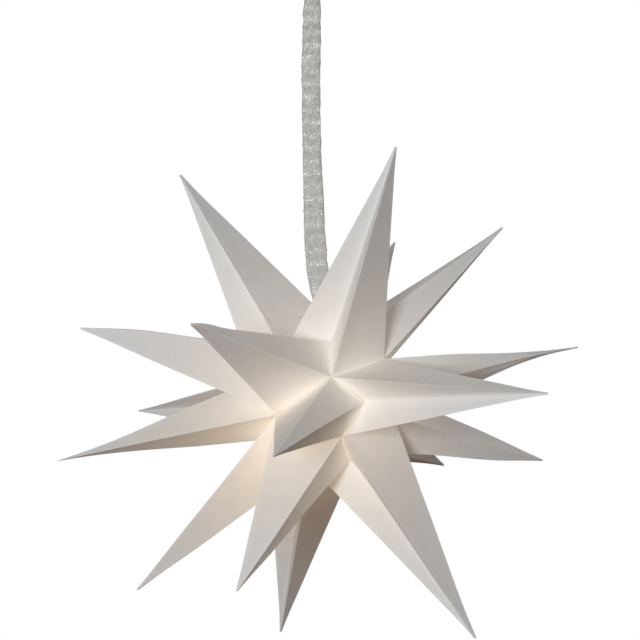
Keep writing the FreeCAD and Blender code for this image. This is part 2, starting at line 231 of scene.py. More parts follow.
@dataclass(frozen=True)
class StarPaper(Finish):
    """Matt white card with the lamp inside painted on: a warmer colour and a glow near the middle of the star."""

    near_centre: Colour = (0.0058, -0.0035, -0.5138)
    near_light: Colour = (0.635, 0.56, 0.49)
    near_reach: float = 0.05
    halo_centre: Colour = (0.0027, -0.0862, -0.5786)
    halo_light: Colour = (0.143, 0.084, 0.018)
    halo_reach: float = 0.08
    # Painted lamp light: away from the lamp the card takes this cooler, slightly darker colour.
    far_from_lamp_colour: Colour = (0.735, 0.752, 0.742)
    painted_lamp_warmth_span: tuple[float, float] = (0.1, 0.3)
    # Painted highlight on whitened card: ridges are lighter, partly from wear and partly where a rounded fold would
    # catch the light.
    whitened_lit_crease_colour: Colour = (0.86, 0.85, 0.83)
    # Painted shade in the inward folds near the pole and the notches: the glow there is dimmer and browner, and the
    # base colour darker.
    painted_fold_glow_tint: Colour = (0.56, 0.54, 0.46)
    painted_fold_darkening: float = 0.84
    leak_light: Colour = (0.13, 0.11, 0.03)

    def detail(self, graph: Graph) -> None:
        """Adds cloudy formation, fibres, whitened creases with a painted highlight, painted shade in the inward folds
        and the glow of the lamp.
        """
        place = graph.position
        cloud = graph.grain(place, 55.0, 4.0, 0.55)
        fibres = graph.grain(graph.stretched(place, (1.0, 1.0, 0.45)), 1400.0, 2.0, 0.6)
        shade = graph.remap(cloud, 0.3, 0.7, 0.985, 1.012)
        flecked = graph.maths("MULTIPLY", shade, graph.remap(fibres, 0.25, 0.75, 0.985, 1.015))
        # Painted lamp light: the base colour is warmer and a little lighter near the lamp than towards the tips.
        away = graph.vector("DISTANCE", place, self.near_centre).outputs["Value"]
        body = graph.vector("SCALE", graph.mix(graph.remap(away, *self.painted_lamp_warmth_span, 0.0, 1.0), self.colour, self.far_from_lamp_colour))
        ridge, joint, leak = (
            graph.add("ShaderNodeAttribute", attribute_name=mark).outputs["Fac"] for mark in ("ridge", "joint", "leak")
        )
        # Painted shade: darker base colour in the inward folds.
        graph.join(graph.maths("MULTIPLY", flecked, graph.remap(joint, 0.0, 1.0, 1.0, self.painted_fold_darkening)), body.inputs["Scale"])
        # Ridges: whitened card with a painted highlight.
        whitened_and_lit = graph.maths("MULTIPLY", ridge, 0.8)
        graph.set(Base_Color=graph.mix(whitened_and_lit, body.outputs["Vector"], self.whitened_lit_crease_colour))
        near = self.light(graph, self.near_centre, self.near_light, self.near_reach)
        halo = self.light(graph, self.halo_centre, self.halo_light, self.halo_reach)
        both = graph.vector("ADD", near, halo).outputs["Vector"]
        # Painted shade on the glow: dimmer and browner in the inward folds.
        tint = graph.mix(joint, (1.0, 1.0, 1.0), self.painted_fold_glow_tint)
        glow = graph.vector("SCALE", graph.vector("MULTIPLY", both, tint).outputs["Vector"])
        graph.join(graph.remap(cloud, 0.25, 0.75, 0.94, 1.06), glow.inputs["Scale"])
        leaking = graph.vector("SCALE", self.leak_light)
        graph.join(leak, leaking.inputs["Scale"])
        lit = graph.vector("ADD", glow.outputs["Vector"], leaking.outputs["Vector"]).outputs["Vector"]
        graph.set(Emission_Color=lit, Emission_Strength=1.0, Specular_IOR_Level=0.25)
        graph.bump(fibres, 0.03 * MM, 0.5)
        graph.bump(cloud, 0.12 * MM, 0.4)
        graph.material.cycles.emission_sampling = "NONE"

    def light(self, graph: Graph, centre: Colour, colour: Colour, reach: float) -> Socket:
        """Light that comes through the card and fades with distance from the lamp.

        Args:
            graph: The material's nodes.
            centre: Where the light is strongest.
            colour: The light's colour there, with its strength.
            reach: The distance over which it falls to about a third.

        Returns:
            The light's colour at each place.
        """
        away = graph.vector("DISTANCE", graph.position, centre).outputs["Value"]
        node = graph.vector("SCALE", colour)
        graph.join(graph.maths("EXPONENT", graph.maths("DIVIDE", away, -reach)), node.inputs["Scale"])
        return node.outputs["Vector"]


@dataclass(frozen=True)
class StrapCard(Finish):
    """Plain off-white card with long fibres."""

    def detail(self, graph: Graph) -> None:
        """Adds fibres to the colour and the surface."""
        fibres = graph.grain(graph.stretched(graph.position, (1.0, 0.3, 1.0)), 900.0, 4.0, 0.65)
        dark = tuple(0.9 * level for level in self.colour)
        graph.set(Base_Color=graph.mix(graph.remap(fibres, 0.35, 0.65, 0.0, 1.0), dark, self.colour))
        graph.bump(fibres, 0.06 * MM)


@dataclass(frozen=True)
class MouldedPlastic(Finish):
    """Satin plastic with a fine spark texture and faint flow marks."""

    texture: float = 2200.0

    def detail(self, graph: Graph) -> None:
        """Adds the mould's texture and a slightly uneven gloss."""
        spark = graph.grain(graph.position, self.texture, 2.0, 0.6)
        flow = graph.grain(graph.stretched(graph.position, (1.0, 1.0, 0.3)), 60.0, 3.0)
        dull = tuple(0.96 * level for level in self.colour)
        graph.set(
            Base_Color=graph.mix(graph.remap(flow, 0.3, 0.7, 0.0, 1.0), dull, self.colour),
            Roughness=graph.remap(flow, 0.3, 0.7, self.roughness - 0.05, self.roughness + 0.06),
        )
        graph.bump(spark, 0.012 * MM, 0.6)


@dataclass(frozen=True)
class FiredCeramic(Finish):
    """Unglazed ceramic with a sandy grain and a few dark specks."""

    def detail(self, graph: Graph) -> None:
        """Adds the grain and the specks."""
        sand = graph.grain(graph.position, 1500.0, 5.0, 0.7)
        specks = graph.remap(graph.grain(graph.position, 700.0, 1.0), 0.7, 0.76, 0.0, 1.0)
        body = graph.mix(graph.remap(sand, 0.3, 0.7, 0.0, 0.25), self.colour, (0.6, 0.56, 0.5))
        graph.set(Base_Color=graph.mix(specks, body, (0.35, 0.32, 0.28)))
        graph.bump(sand, 0.05 * MM)


@dataclass(frozen=True)
class BareMetal(Finish):
    """Metal with fine drawing lines round or along it, and slight tarnish."""

    tarnish: Colour = (0.3, 0.28, 0.26)
    grain_scale: tuple[float, float, float] = (1.0, 1.0, 12.0)

    def detail(self, graph: Graph) -> None:
        """Adds drawing lines and clouds of tarnish."""
        lines = graph.grain(graph.stretched(graph.position, self.grain_scale), 900.0, 3.0, 0.6)
        cloud = graph.remap(graph.grain(graph.position, 220.0, 4.0), 0.5, 0.75, 0.0, 0.5)
        graph.set(
            Base_Color=graph.mix(cloud, self.colour, self.tarnish),
            Metallic=1.0,
            Roughness=graph.remap(lines, 0.3, 0.7, self.roughness - 0.06, self.roughness + 0.1),
        )
        graph.bump(lines, 0.02 * MM, 0.5)


@dataclass(frozen=True)
class LitOpalGlass(Finish):
    """Opal glass with the lamp on: brightest round its middle, over a smooth white skin."""

    middle: Colour = (0.0078, 0.0075, -0.5235)
    light: Colour = (1.0, 0.72, 0.4)

    def detail(self, graph: Graph) -> None:
        """Adds light that falls off towards the neck, and the metal cap above it."""
        away = graph.vector("DISTANCE", graph.position, self.middle).outputs["Value"]
        level = graph.remap(away, 0.018, 0.034, 0.9, 0.0)
        glow = graph.vector("SCALE", self.light)
        graph.join(level, glow.inputs["Scale"])
        streak = graph.grain(graph.stretched(graph.position, (1.0, 1.0, 0.2)), 300.0, 2.0)
        height = graph.add("ShaderNodeSeparateXYZ")
        graph.join(graph.position, height.inputs[0])
        is_cap = graph.maths("GREATER_THAN", height.outputs["Z"], -0.4905)
        thread = graph.maths("SINE", graph.maths("MULTIPLY", height.outputs["Z"], 2 * math.pi / 0.0028))
        graph.set(
            Base_Color=graph.mix(is_cap, self.colour, (0.75, 0.74, 0.7)),
            Metallic=is_cap,
            Roughness=graph.remap(streak, 0.3, 0.7, self.roughness, self.roughness + 0.08),
            Emission_Color=glow.outputs["Vector"],
            Emission_Strength=1.0,
            Coat_Weight=0.3,
        )
        graph.bump(graph.maths("MULTIPLY", thread, is_cap), 0.4 * MM, 0.8)
        graph.material.cycles.emission_sampling = "NONE"


@dataclass(frozen=True)
class SilverCloth(Finish):
    """Silver-grey woven cloth with flat metallic yarns that catch the light in flecks."""

    # Painted glints: the flecks are lighter metallic yarns, painted bright in the base colour.
    glint_fleck_colour: Colour = (0.86, 0.86, 0.86)
    hollow: Colour = (0.25, 0.25, 0.245)
    warp_pitch: float = 0.9 * MM
    weft_pitch: float = 0.75 * MM
    fleck_pitch: float = 13.6 * MM

    def detail(self, graph: Graph) -> None:
        """Adds the weave and the bright flecks."""
        cloth = graph.add("ShaderNodeUVMap", uv_map="cloth").outputs["UV"]
        split = graph.add("ShaderNodeSeparateXYZ")
        graph.join(cloth, split.inputs[0])
        across, along = split.outputs["X"], split.outputs["Y"]
        wander = graph.maths("MULTIPLY", graph.grain(cloth, 260.0, 2.0), 4.0)
        warp = graph.maths("SINE", graph.maths("ADD", graph.maths("MULTIPLY", across, 2 * math.pi / self.warp_pitch), wander))
        weft = graph.maths("SINE", graph.maths("ADD", graph.maths("MULTIPLY", along, 2 * math.pi / self.weft_pitch), wander))
        weave = graph.maths("MULTIPLY_ADD", graph.maths("MULTIPLY", warp, weft), 0.5, 0.5)
        yarns = graph.grain(graph.stretched(cloth, (1.0, 0.6, 1.0)), 900.0, 2.0, 0.7)
        patches = graph.grain(graph.stretched(cloth, (1.0, 0.6, 1.0)), 170.0, 3.0, 0.6)
        row = graph.maths("SINE", graph.maths("MULTIPLY", along, 2 * math.pi / self.fleck_pitch))
        threshold = graph.maths("MULTIPLY_ADD", patches, -0.42, graph.maths("MULTIPLY_ADD", row, -0.05, 0.775))
        bright = graph.maths("MULTIPLY", graph.maths("SUBTRACT", yarns, threshold), 7.0, clamp=True)
        dim = graph.remap(yarns, 0.2, 0.5, 1.0, 0.0)
        smudge = graph.remap(graph.grain(graph.stretched(cloth, (1.0, 0.7, 1.0)), 170.0, 5.0, 0.85), 0.42, 0.62, 0.0, 0.62)
        ground = graph.mix(graph.maths("MAXIMUM", dim, smudge), self.colour, self.hollow)
        shaded = graph.mix(graph.maths("MULTIPLY", weave, 0.22), ground, self.hollow)
        # The flecks are lighter metallic yarns with painted glints in the base colour.
        graph.set(
            Base_Color=graph.mix(bright, shaded, self.glint_fleck_colour),
            Metallic=graph.maths("MULTIPLY_ADD", bright, 0.35, 0.15),
            Roughness=graph.maths("MULTIPLY_ADD", bright, -0.15, self.roughness),
            Sheen_Weight=0.15,
        )
        graph.bump(weave, 0.14 * MM, 0.8)
        graph.bump(yarns, 0.12 * MM, 0.6)


@dataclass(frozen=True)
class CableSheath(Finish):
    """Smooth white cable sheath with faint draw lines."""

    def detail(self, graph: Graph) -> None:
        """Adds the draw lines."""
        lines = graph.grain(graph.stretched(graph.position, (1.0, 1.0, 0.1)), 1200.0, 2.0)
        graph.set(Roughness=graph.remap(lines, 0.3, 0.7, self.roughness, self.roughness + 0.1))
        graph.bump(lines, 0.02 * MM, 0.5)


PAPER = StarPaper("white_star_card", (0.8, 0.78, 0.745), 0.88)
STRAP = StrapCard("strap_board", (0.74, 0.7, 0.62), 0.85)
STEEL = BareMetal("bright_steel", (0.62, 0.62, 0.61), 0.32)
BRASS = BareMetal("pressed_brass", (0.78, 0.6, 0.28), 0.3, tarnish=(0.42, 0.3, 0.14))
HOLDER_PLASTIC = MouldedPlastic("holder_moulding", (0.8, 0.8, 0.78), 0.42)
FITTING_PLASTIC = MouldedPlastic("fitting_moulding", (0.78, 0.78, 0.765), 0.38, texture=1800.0)
CERAMIC = FiredCeramic("fired_ceramic", (0.76, 0.73, 0.66), 0.8)
OPAL_GLASS = LitOpalGlass("lit_opal_glass", (0.9, 0.87, 0.8), 0.2)
CLOTH = SilverCloth("silver_cloth", (0.575, 0.562, 0.53), 0.5)
SHEATH = CableSheath("cable_sheath", (0.78, 0.78, 0.76), 0.4)


# Shared building.


def add_mesh(name: str, vertices: Sequence, faces: Sequence) -> bpy.types.Object:
    """Makes a mesh object at the origin.

    Args:
        name: The object's name.
        vertices: Its points.
        faces: Its faces, as indices of points.

    Returns:
        The new object, in the scene.
    """
    mesh = bpy.data.meshes.new(name)
    mesh.from_pydata(vertices, [], faces)
    thing = bpy.data.objects.new(name, mesh)
    bpy.context.scene.collection.objects.link(thing)
    return thing


def keep_as_piece(thing: bpy.types.Object, slot: str, *nodes: str) -> None:
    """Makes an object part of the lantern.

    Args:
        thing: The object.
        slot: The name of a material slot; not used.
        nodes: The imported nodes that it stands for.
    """
    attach(thing, BODY)
    if nodes:
        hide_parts(*nodes)
    logger.info("%s: %d faces, for %s", thing.name, len(getattr(thing.data, "polygons", [])), nodes or "itself")


def smoothstep(value: float) -> float:
    """Eases a number from 0 to 1, kept within those ends."""
    value = min(1.0, max(0.0, value))
    return value * value * (3 - 2 * value)


# The cable and its sleeve.


@dataclass
class LampCable:
    """The cable from the terminal block in the ceiling cup down to the lamp holder."""

    diameter: float = 5 * MM
    length: float = 0.435
    exit_point: tuple[float, float, float] = (0.0078, 0.0075, -0.4326)
    route: tuple[tuple[float, float, float], ...] = (
        (0.0, 0.0, -0.015),
        (0.0, 0.0, -0.088),
        (-0.0014, -0.0011, -0.162),
        (-0.0002, -0.0003, -0.236),
        (0.0012, 0.001, -0.3),
        (0.0036, 0.0033, -0.364),
        (0.0078, 0.0075, -0.408),
        (0.0078, 0.0075, -0.45),
    )

    def build(self, fitting: Sequence[bpy.types.Object]) -> bpy.types.Object:
        """Makes the cable as one smooth curve.

        Args:
            fitting: The ceiling pieces that its upper end goes into; not used.

        Returns:
            The cable.
        """
        curve = bpy.data.curves.new("white_cable", "CURVE")
        curve.dimensions = "3D"
        curve.resolution_u = 24
        curve.bevel_depth = self.diameter / 2
        curve.bevel_resolution = 6
        curve.use_fill_caps = True
        spline = curve.splines.new("NURBS")
        spline.points.add(len(self.route) - 1)
        for point, place in zip(spline.points, self.route):
            point.co = (*place, 1.0)
        spline.order_u = 3
        spline.use_endpoint_u = True
        cable = bpy.data.objects.new("white_cable", curve)
        bpy.context.scene.collection.objects.link(cable)
        SHEATH.dress(cable)
        keep_as_piece(cable, "cable_plastic", "lamp_cable")
        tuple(self.exit_point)
        return cable


@dataclass
class CableSleeve:
    """The flat tube of silver cloth that hides the cable, gathered onto a neck at either end."""

    facing: float = math.radians(43)
    cloth: float = 0.5 * MM
    flat_width: float = 0.046
    flat_length: float = 0.375
    around: int = 56
    rows: int = 300
    edge_wave: float = 0.35 * MM
    bump_pitch: float = 14 * MM
    bump_height: float = 0.7 * MM
    top: float = -0.0623
    bottom: float = -0.4371
    sections: tuple[tuple[float, float, float], ...] = (
        (-62.3, 10.4, 10.2),
        (-67.6, 10.8, 10.2),
        (-76.0, 16.4, 7.8),
        (-86.0, 18.8, 6.6),
        (-140.0, 20.2, 6.6),
        (-190.0, 19.6, 6.6),
        (-236.0, 19.8, 6.6),
        (-300.0, 21.9, 6.6),
        (-342.0, 23.2, 6.6),
        (-366.0, 22.8, 6.6),
        (-402.0, 17.8, 7.4),
        (-418.0, 13.6, 8.8),
        (-431.0, 10.8, 10.2),
        (-437.1, 10.4, 10.2),
    )

    def line(self, cable: LampCable, height: float) -> Vector:
        """The cable route's point at a height, eased between its corners."""
        heights = [point[2] for point in reversed(cable.route)]
        x = np.interp([height - 0.012, height, height + 0.012], heights, [p[0] for p in reversed(cable.route)])
        y = np.interp([height - 0.012, height, height + 0.012], heights, [p[1] for p in reversed(cable.route)])
        return Vector((float(x.mean()), float(y.mean()), height))

    def size_at(self, height: float) -> tuple[float, float]:
        """The sleeve's width and thickness at a height, in metres."""
        levels = [section[0] * MM for section in reversed(self.sections)]
        width = np.interp(height, levels, [section[1] for section in reversed(self.sections)])
        thickness = np.interp(height, levels, [section[2] for section in reversed(self.sections)])
        return float(width) * MM, float(thickness) * MM

    def ring(self, cable: LampCable, height: float, inset: float) -> list[Vector]:
        """One level outline of the sleeve, with its wavy edges and puckers.

        Args:
            cable: The cable inside, for the line that the sleeve follows.
            height: The outline's height.
            inset: How far it lies inside the outer skin.

        Returns:
            Points round the outline.
        """
        centre = self.line(cable, height)
        width, thickness = self.size_at(height)
        across = Vector((math.cos(self.facing), math.sin(self.facing), 0))
        through = Vector((-math.sin(self.facing), math.cos(self.facing), 0))
        loose = smoothstep((self.top - height) / 0.025) * smoothstep((height - self.bottom) / 0.05)
        gather = 1.0 - loose
        phase = (height % self.bump_pitch) / self.bump_pitch
        tuft = self.bump_height * max(0.0, 1 - abs(phase - 0.5) / 0.13) * loose
        sway = noise.noise(Vector((0.0, 7.0, height * 26))) * 0.6 * MM * loose
        points = []
        for index in range(self.around):
            angle = 2 * math.pi * index / self.around
            side = math.cos(angle)
            swell = math.sin(angle)
            edge = self.edge_wave * noise.noise(Vector((side * 3, 0.0, height * 95))) * loose
            reach = width / 2 + edge * 2 - inset
            if side < -0.9:
                reach += tuft * (abs(side) - 0.9) * 10
            depth = math.copysign(abs(swell) ** 0.45, swell) * (thickness / 2 - inset)
            pucker = 0.32 * MM * noise.noise(Vector((side * 2.2, swell, height * 60))) * loose
            pleat = 0.28 * MM * math.cos(9 * angle + 30 * height) * gather
            depth += math.copysign(1.0, swell) * pucker * abs(swell)
            point = centre + across * (side * (reach + pleat * abs(side)) + sway)
            point += through * (depth + pleat * swell)
            points.append(point)
        return points

    def build(self, cable: LampCable) -> bpy.types.Object:
        """Makes the sleeve with an outer and an inner skin.

        Args:
            cable: The cable inside it.

        Returns:
            The sleeve.
        """
        count = self.around
        vertices: list[Vector] = []
        texture: list[tuple[float, float]] = []
        for inset in (0.0, self.cloth):
            for row in range(self.rows + 1):
                height = self.top + (self.bottom - self.top) * row / self.rows
                outline = self.ring(cable, height, inset)
                vertices += outline
                run = 0.0
                for index, point in enumerate(outline):
                    texture.append((run, -height))
                    run += (outline[(index + 1) % count] - point).length
        faces = []
        skin = (self.rows + 1) * count
        for row in range(self.rows):
            for index in range(count):
                after = (index + 1) % count
                quad = [row * count + index, row * count + after, (row + 1) * count + after, (row + 1) * count + index]
                faces.append(quad[::-1])
                faces.append([skin + corner for corner in quad])
        for row in (0, self.rows):
            for index in range(count):
                after = (index + 1) % count
                quad = [row * count + index, row * count + after, skin + row * count + after, skin + row * count + index]
                faces.append(quad if row == 0 else quad[::-1])
        sleeve = add_mesh("silver_sleeve", vertices, faces)
        layer = sleeve.data.uv_layers.new(name="cloth")
        for loop in sleeve.data.loops:
            layer.data[loop.index].uv = texture[loop.vertex_index]
        for face in sleeve.data.polygons:
            face.use_smooth = True
        CLOTH.dress(sleeve)
        keep_as_piece(sleeve, "sleeve_cloth", "cable_sleeve")
        return sleeve


# The paper star.


class Corner(Enum):
    """The named corners of a leaf."""

    POLE = "pole"
    TIP = "tip"
    NOTCH = "notch"
    VALLEY = "valley"
    MIDDLE = "middle tip"


CornerKey = tuple[Corner, int, int]


@dataclass(frozen=True)
class TipShape:
    """How one point of the star departs from the pattern.

    Attributes:
        across: How far its tip leans to the right, in millimetres.
        up: How far its tip leans upward, in millimetres.
        girth: How much thicker it is at its tip than the pattern.
        lift: How steeply its thicker or thinner part shifts upward.
        reach: How far from the tip the change of girth goes, in millimetres.
        blunt: How far the paper stands off the axis at the tip, in millimetres.
    """

    across: float = 0.0
    up: float = 0.0
    girth: float = 0.0
    lift: float = 0.0
    reach: float = 160.0
    blunt: float = 1.0


@dataclass
class Sheet:
    """One side of a leaf.

    Attributes:
        points: Its points.
        faces: Its faces, as indices of points.
        marks: What the paper looks like at each point, by the name of the mark: ridge whitening with a painted
            highlight, painted fold shade and painted light leaking through.
    """

    points: list[Vector] = field(default_factory=list)
    faces: list[list[int]] = field(default_factory=list)
    marks: dict[str, list[float]] = field(default_factory=lambda: {"ridge": [], "joint": [], "leak": []})


@dataclass
class PaperStar:
    """Eighteen long points folded from twelve leaves of card, hung by the seam between two leaves."""

    paper: float = 0.4 * MM
    middle_reach: float = 0.3
    outer_reach: float = 0.289
    outer_rise: float = math.radians(57.6)
    pole_height: float = 0.0755
    valley: tuple[float, float] = (0.0645, 0.042)
    notch: tuple[float, float] = (0.0745, 0.0175)
    openings: tuple[float, ...] = (63.5, 60.0, 62.0, 57.0, 59.0, 58.5)
    centre: tuple[float, float, float] = (0.0105, 0.0075, -0.5)
    dip: float = math.radians(12.1)
    turn: float = math.radians(2.4)
    seam_hole: float = 12 * MM
    segments: int = 20
    insets: tuple[float, ...] = (0.0, 0.3, 0.8, 1.6, 2.8, 5.0, 9.0, 14.0, 20.0)
    sharp_fold: float = 0.3 * MM
    valley_fold: float = 4.0 * MM
    soft_fold: float = 5.0 * MM
    soft_row: int = 4
    ridge_fold: float = 1.2 * MM
    # How far the whitening and painted highlight beside a ridge reach.
    whitening_and_highlight_reach: float = 5.0 * MM
    crease_sag: float = 4.0 * MM
    # How far the painted shade beside an inward fold reaches.
    joint: float = 6.0 * MM
    leak: tuple[float, float] = (0.8, 2.5)
    notch_leaks: dict[tuple[int, int], tuple[float, float]] = field(
        default_factory=lambda: {(1, 5): (0.2, 2.5), (1, 4): (0.6, 9.0), (1, 3): (1.8, 3.0)}
    )
    open_notch: CornerKey = (Corner.NOTCH, 1, 4)
    open_fold: float = 9.0 * MM
    tip_reach: float = 30 * MM
    bow: float = -0.35 * MM
    warp: float = 0.9 * MM
    tip_shapes: dict[tuple[int, int], TipShape] = field(
        default_factory=lambda: {
            (0, 5): TipShape(across=1.5),
            (0, 2): TipShape(up=1.6),
            (0, 1): TipShape(up=-1.2),
            (0, 0): TipShape(across=-0.4),
            (1, 5): TipShape(up=-2.0, girth=0.3, lift=0.08, reach=60.0),
            (1, 4): TipShape(across=3.4, up=0.3),
            (1, 3): TipShape(across=-2.0, up=-1.7, girth=0.13),
            (1, 2): TipShape(across=-1.5, up=-1.7, girth=0.15),
            (1, 1): TipShape(across=-2.5, up=-1.2, girth=-0.38, blunt=0.2),
            (1, 0): TipShape(girth=0.3, lift=0.03),
            (-1, 5): TipShape(across=-1.7, up=2.1),
            (-1, 4): TipShape(across=1.8, up=-3.6, girth=-0.6, lift=0.015),
            (-1, 3): TipShape(across=1.3, up=0.5, girth=0.34),
            (-1, 2): TipShape(across=2.1),
            (-1, 0): TipShape(up=-3.9),
        }
    )

    def __post_init__(self) -> None:
        """Works out the corners, the faces and the creases between them."""
        self.rows = [self.openings[0] / 2]
        for opening in self.openings[1:]:
            self.rows.append(self.rows[-1] + opening)
        upright = Matrix(((0, -1, 0), (0, 0, -1), (1, 0, 0)))
        turned = Matrix.Rotation(self.turn, 3, Vector((0, -1, 0)))
        dipped = Matrix.Rotation(self.dip, 3, Vector((1, 0, 0)))
        self.hang = Matrix.Translation(self.centre) @ (dipped @ turned @ upright).to_4x4()
        self.unhang = (dipped @ turned @ upright).transposed()
        self.up = self.unhang @ Vector((0, 0, 1))
        self.tips: list[tuple[Vector, Vector, TipShape]] = []
        view = math.radians(43)
        for side in (1, 0, -1):
            for row in range(len(self.rows)):
                kind = Corner.TIP if side else Corner.MIDDLE
                shape = self.tip_shapes.get((side, row), TipShape())
                lean = Vector((shape.across * math.cos(view), shape.across * math.sin(view), shape.up)) * MM
                self.tips.append((self.place((kind, side, row)), self.unhang @ lean, shape))
        self.normals: dict[frozenset[CornerKey], list[tuple[Vector, Vector]]] = {}
        for leaf in range(2 * len(self.rows)):
            for face in self.leaf_faces(leaf):
                a, b, c = (self.place(key) for key in face)
                normal = (b - a).cross(c - a).normalized()
                if normal.dot(a) < 0:
                    normal.negate()
                for edge in (face[:2], face[1:], (face[2], face[0])):
                    self.normals.setdefault(frozenset(edge), []).append((normal, (a + b + c) / 3))

    def polar(self, radius: float, degrees: float, height: float) -> Vector:
        """A point in the star's own frame, by radius, angle from the seam and height."""
        angle = math.radians(degrees)
        return Vector((radius * math.cos(angle), radius * math.sin(angle), height))

    def valley_angle(self, index: int) -> float:
        """The angle of the fold before a row of points."""
        return self.rows[index % 6] - self.openings[index % 6] / 2

    def place(self, key: CornerKey) -> Vector:
        """Where a corner's outside lies in the star's own frame."""
        kind, side, index = key
        if kind is Corner.POLE:
            return Vector((0, 0, side * self.pole_height))
        if kind is Corner.VALLEY:
            return self.polar(self.valley[0], self.valley_angle(index), side * self.valley[1])
        row = self.rows[index]
        if kind is Corner.MIDDLE:
            return self.polar(self.middle_reach, row, 0)
        if kind is Corner.NOTCH:
            return self.polar(self.notch[0], row, side * self.notch[1])
        flat = self.outer_reach * math.cos(self.outer_rise)
        return self.polar(flat, row, side * self.outer_reach * math.sin(self.outer_rise))

    def leaf_faces(self, leaf: int) -> list[tuple[CornerKey, CornerKey, CornerKey]]:
        """The seven flat faces of a leaf, counted from the seam, as corner keys."""
        row, after = divmod(leaf, 2)
        fold = (row + after) % len(self.rows)
        middle = (Corner.MIDDLE, 0, row)
        faces = []
        for side in (1, -1):
            pole, tip = (Corner.POLE, side, 0), (Corner.TIP, side, row)
            notch, valley = (Corner.NOTCH, side, row), (Corner.VALLEY, side, fold)
            faces += [(pole, valley, tip), (valley, notch, tip), (valley, notch, middle)]
        faces.append(((Corner.VALLEY, 1, fold), (Corner.VALLEY, -1, fold), middle))
        return faces

    def inner_place(self, key: CornerKey, leaf: int) -> Vector:
        """A leaf's corner moved in by the paper's thickness, in the plane where leaves join."""
        row, after = divmod(leaf, 2)
        angle = self.valley_angle(row + after) if key[0] is Corner.VALLEY else self.rows[row]
        radial = self.polar(1, angle, 0)
        meeting = []
        for face in self.leaf_faces(leaf):
            if key in face:
                a, b, c = (self.place(corner) for corner in face)
                normal = (b - a).cross(c - a).normalized()
                if normal.dot(a) > 0:
                    normal.negate()
                meeting.append((normal.dot(radial), normal.z))
        if key[0] is Corner.POLE:
            return self.place(key) + Vector((0, 0, self.paper / meeting[0][1]))
        moves, *_ = np.linalg.lstsq(np.array(meeting), np.full(len(meeting), self.paper), rcond=None)
        return self.place(key) + radial * float(moves[0]) + Vector((0, 0, float(moves[1])))

    def crease(self, edge: frozenset[CornerKey]) -> tuple[Vector, float]:
        """How a crease's rounding moves the paper.

        Args:
            edge: The crease's two corners.

        Returns:
            The direction of the move, and the tangent of a quarter of the fold's turn.
        """
        (first, _), (second, middle) = self.normals[edge]
        bisector = (first + second).normalized()
        half_turn = first.angle(second) / 2
        ridge = (middle - self.place(next(iter(edge)))).dot(first) < 0
        return bisector * (-1 if ridge else 1), math.tan(half_turn / 2)

    def fold_radius(self, edge: frozenset[CornerKey]) -> float:
        """How far a crease's rounding reaches: little on ridges, more where the paper folds inward."""
        kinds = {key[0] for key in edge}
        if kinds == {Corner.NOTCH, Corner.MIDDLE}:
            return self.soft_fold if (Corner.MIDDLE, 0, self.soft_row) in edge else self.ridge_fold
        if Corner.VALLEY in kinds and (Corner.POLE in kinds or Corner.NOTCH in kinds):
            return self.open_fold if self.open_notch in edge else self.valley_fold
        return self.sharp_fold

    def rounding(self, edge: frozenset[CornerKey], place: Vector, inset: float) -> Vector:
        """How far a crease's rounding moves a point that lies beside it."""
        room = min((self.place(key) - place).length for key in edge)
        away = (self.nearest_tip(place)[0] - place).length
        radius = min(self.fold_radius(edge), 0.1 * away)
        if inset >= radius:
            return Vector()
        direction, slope = self.crease(edge)
        near = smoothstep(away / (25 * MM)) * smoothstep(room / (2.5 * radius))
        return direction * (radius * near * slope * (1 - inset / radius) ** 2)

    def sag(self, face: tuple[CornerKey, CornerKey, CornerKey], corners: Triangle, place: Vector) -> Vector:
        """How far the long inward crease of a middle point sinks in, for a point of a face beside it."""
        if face[1][0] is not Corner.NOTCH or face[2][0] is not Corner.MIDDLE:
            return Vector()
        valley, notch, middle = corners
        whole = (notch - valley).cross(middle - valley).length
        near_notch = (middle - valley).cross(place - valley).length / whole
        near_middle = (notch - valley).cross(place - valley).length / whole
        depth = self.crease_sag * near_notch * (1 - math.exp(-near_middle / 0.05))
        return Vector((0, 0, -face[1][1] * depth))

    def nearest_tip(self, point: Vector) -> tuple[Vector, Vector, TipShape]:
        """The tip that a point lies nearest to, how far it leans and its shape."""
        return min(self.tips, key=lambda tip: (tip[0] - point).length_squared)

    def settle(self, point: Vector) -> Vector:
        """Adds the slow warp that card takes on, and each point's own lean, girth and blunt end.

        Args:
            point: A point of the sheet as it was folded.

        Returns:
            The point's place on the hanging star.
        """
        tip, lean, shape = self.nearest_tip(point)
        below = (tip - point).length
        warp = noise.noise_vector(point * 9.0) * self.warp * smoothstep((point.length - 0.1) / 0.18)
        bend = max(0.0, (point.length - 0.09) / (tip.length - 0.09)) ** 1.6
        along = tip.normalized()
        off_axis = point - along * point.dot(along)
        swell = smoothstep(1 - below / (shape.reach * MM))
        end = max(0.0, 1 - below / self.tip_reach)
        moved = off_axis * (shape.girth * swell) + self.up * (shape.lift * swell * below)
        if off_axis.length > 0.02 * MM:
            moved += off_axis.normalized() * (shape.blunt * MM * end)
        moved += along * (shape.blunt * MM * max(0.0, 1 - below / (3 * MM)))
        return point + moved + warp + lean * bend

    def spacing(self, step: int) -> float:
        """The place of a step along an edge, closer together towards its ends."""
        return (1 - math.cos(math.pi * step / self.segments)) / 2

